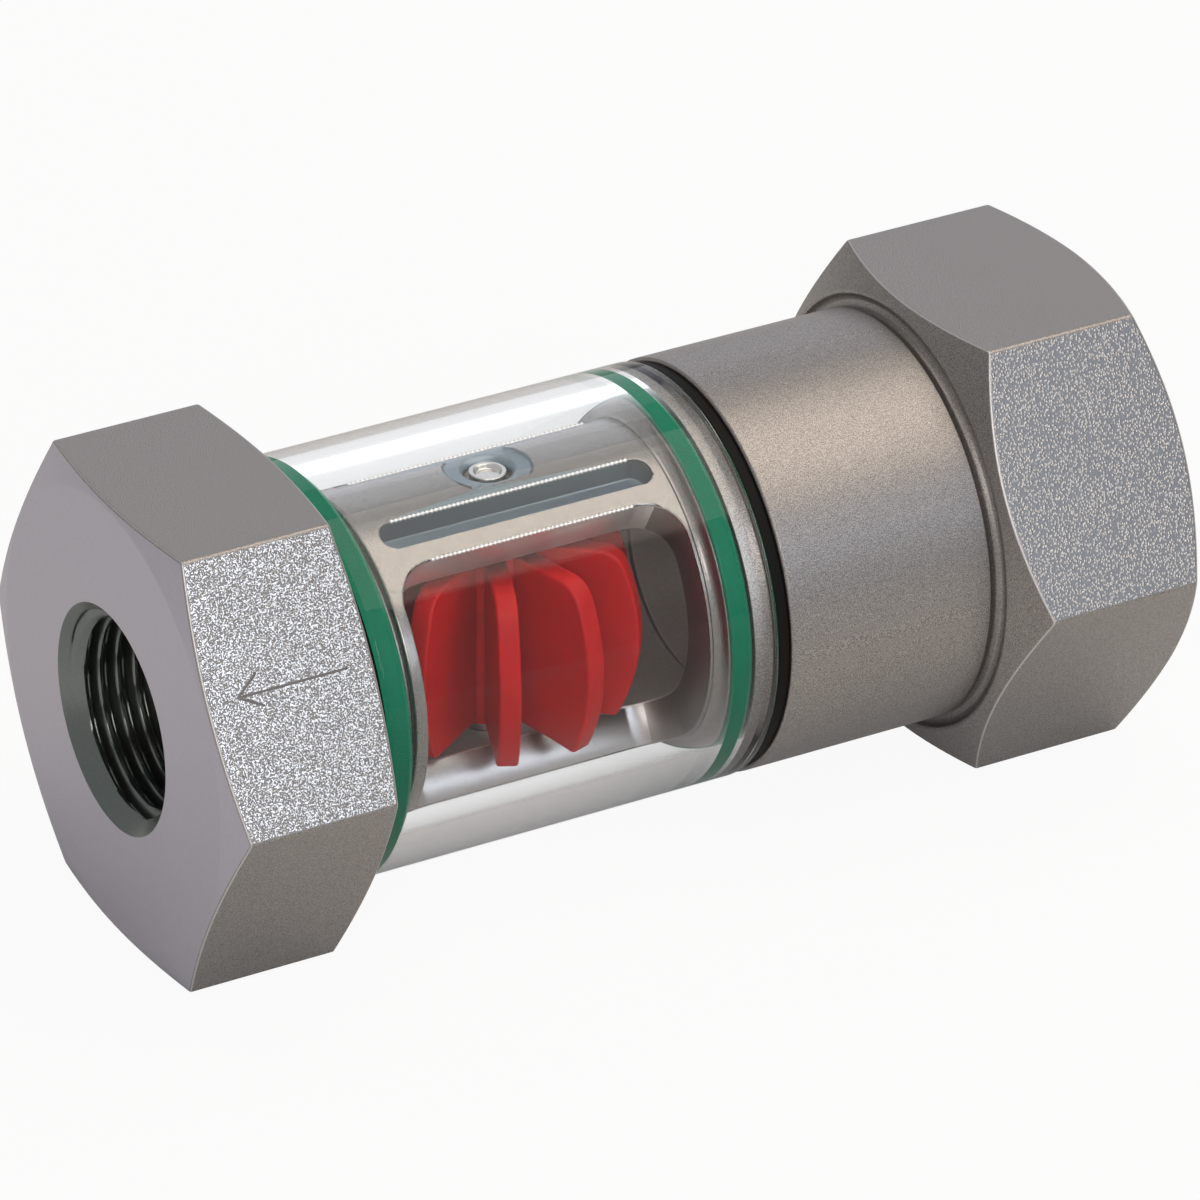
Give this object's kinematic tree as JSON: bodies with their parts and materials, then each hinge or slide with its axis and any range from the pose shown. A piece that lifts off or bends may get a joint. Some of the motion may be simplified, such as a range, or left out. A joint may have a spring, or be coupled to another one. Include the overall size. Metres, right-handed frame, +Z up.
{
  "type": "flow indicator",
  "caption": "Inline flow indicator: a red vane wheel turns in a windowed steel cage under a glass tube, between two hexagonal fittings with female pipe threads.",
  "frame": {"origin": "on the flow axis, halfway between the two threaded end faces, which is the centre of the bounding box", "axes": "+X along the flow axis towards the inlet, +Z up across the hexagon flats, -Y towards the viewer; the wheel's axle is parallel to Z"},
  "size_m": [0.105, 0.0532, 0.046],
  "materials": {
    "blasted_steel": "fine blasted stainless steel",
    "turned_steel": "satin turned stainless steel",
    "polished_steel": "smooth ground stainless steel",
    "clear_glass": "clear borosilicate glass",
    "green_rubber": "smooth green fluoro rubber",
    "black_rubber": "matte black rubber",
    "red_plastic": "semi-gloss red moulded plastic",
    "white_plastic": "natural white plastic"
  },
  "bodies": {
    "housing": {"outlet_fitting": "blasted_steel", "inlet_fitting": "blasted_steel", "rotor_cage": "turned_steel", "sight_glass": "clear_glass", "outlet_glass_seal": "green_rubber", "inlet_glass_seal": "green_rubber", "outlet_cushion_ring": "black_rubber", "inlet_cushion_ring": "black_rubber", "upper_bearing_bush": "polished_steel", "lower_bearing_bush": "polished_steel", "inlet_nozzle": "white_plastic", "nozzle_retaining_ring": "polished_steel"},
    "wheel": {"rotor": "red_plastic", "rotor_axle": "polished_steel", "upper_thrust_washer": "white_plastic", "lower_thrust_washer": "white_plastic"}
  },
  "joints": [
    {"name": "wheel_spin", "type": "hinge", "parent": "housing", "child": "wheel", "pos_m": [-0.013, 0, 0], "axis": [0, 0, 1], "continuous": true}
  ]
}
